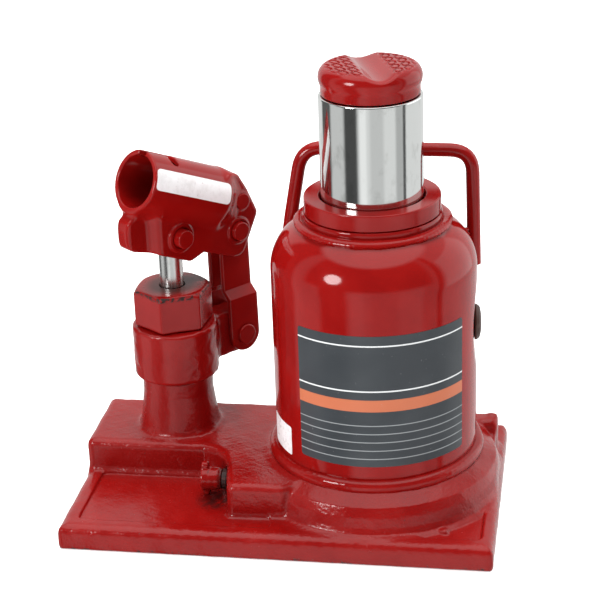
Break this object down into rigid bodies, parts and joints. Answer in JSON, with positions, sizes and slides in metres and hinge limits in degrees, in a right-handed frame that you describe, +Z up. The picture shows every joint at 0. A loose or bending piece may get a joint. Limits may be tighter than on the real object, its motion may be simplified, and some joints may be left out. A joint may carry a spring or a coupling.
{
  "type": "bottle jack",
  "caption": "Low hydraulic bottle jack: cast base, round oil tank, chromed ram with grooved saddle, carrying handle, and a pump head with handle socket that swivels round its post.",
  "frame": {"origin": "where the ram's axis meets the underside of the base", "axes": "+Z is up along the ram, +X runs along the base's long side away from the pump, and -Y is the side with the release valve"},
  "size_m": [0.2122, 0.1334, 0.227],
  "materials": {
    "casting_red": "gloss paint on rough cast iron",
    "tank_red": "smooth gloss paint",
    "machined_red": "gloss paint on turned steel",
    "forged_red": "gloss paint on forged steel",
    "sheet_red": "gloss paint on pressed steel",
    "ram_chrome": "polished",
    "steel": "turned",
    "spring_steel": "drawn wire",
    "gasket_copper": "soft copper",
    "black_rubber": "matte",
    "plug_rubber": "matte, oil stained",
    "seal_plastic": "moulded"
  },
  "bodies": {
    "jack_body": {"base_casting": "casting_red", "reservoir_tank": "tank_red", "gland_nut": "machined_red", "carry_handle": "tank_red", "filler_plug": "plug_rubber", "filler_washer": "black_rubber", "cylinder_gasket": "gasket_copper", "pressure_cylinder": "steel", "gland_seal": "seal_plastic", "release_valve_ball": "steel", "safety_valve_ball": "steel", "safety_valve_spring": "spring_steel", "safety_valve_screw": "steel", "discharge_spring": "spring_steel", "pump_cylinder": "machined_red", "plunger_packing": "seal_plastic", "plunger_wiper": "black_rubber"},
    "ram_body": {"ram": "ram_chrome", "piston_head": "steel", "piston_nut": "steel", "piston_cup_seal": "seal_plastic", "piston_backup_ring": "black_rubber", "saddle": "forged_red"},
    "release_valve": {"release_valve_screw": "forged_red", "release_valve_ring": "black_rubber"},
    "pump_swivel": {"swivel_collar": "forged_red", "lower_link_pin": "machined_red", "lower_link_clip": "spring_steel"},
    "pump_plunger": {"plunger": "ram_chrome"},
    "pump_socket": {"handle_socket": "sheet_red", "socket_rivet": "machined_red", "plunger_pin": "machined_red", "plunger_clip": "spring_steel", "upper_link_pin": "machined_red", "upper_link_clip": "spring_steel"},
    "pump_links": {"link_near": "sheet_red", "link_far": "sheet_red"},
    "suction_check": {"suction_ball": "steel"},
    "discharge_check": {"discharge_ball": "steel"}
  },
  "joints": [
    {"name": "ram_lift", "type": "slide", "parent": "jack_body", "child": "ram_body", "axis": [0, 0, 1], "range_m": [-0.0505, 0.033]},
    {"name": "pump_orbit", "type": "hinge", "parent": "jack_body", "child": "pump_swivel", "pos_m": [-0.1044, 0.0154, 0.073], "axis": [0, 0, 1], "continuous": true},
    {"name": "plunger_stroke", "type": "slide", "parent": "pump_swivel", "child": "pump_plunger", "axis": [0, 0, 1], "range_m": [-0.011, 0.013]},
    {"name": "handle_pump", "type": "hinge", "parent": "pump_plunger", "child": "pump_socket", "pos_m": [-0.1044, 0.0154, 0.1345], "axis": [-0.766, 0.6428, 0], "range_deg": [-17, 20]},
    {"name": "link_swing", "type": "hinge", "parent": "pump_swivel", "child": "pump_links", "pos_m": [-0.0803, 0.04413, 0.0712], "axis": [-0.766, 0.6428, 0], "range_deg": [-2.5, 2.2]},
    {"name": "release_turn", "type": "hinge", "parent": "jack_body", "child": "release_valve", "pos_m": [-0.078, -0.0285, 0.021], "axis": [-1, 0, 0], "range_deg": [0, 360]},
    {"name": "suction_lift", "type": "slide", "parent": "jack_body", "child": "suction_check", "axis": [0, 0, 1], "range_m": [0, 0.0012]},
    {"name": "discharge_lift", "type": "slide", "parent": "jack_body", "child": "discharge_check", "axis": [0, 0, 1], "range_m": [0, 0.001], "deforming": ["discharge_spring"]}
  ],
  "couplings": [
    {"joint": "plunger_stroke", "follows": "handle_pump", "m_per_rad": 0.0356},
    {"joint": "link_swing", "follows": "handle_pump", "ratio": -0.12}
  ]
}
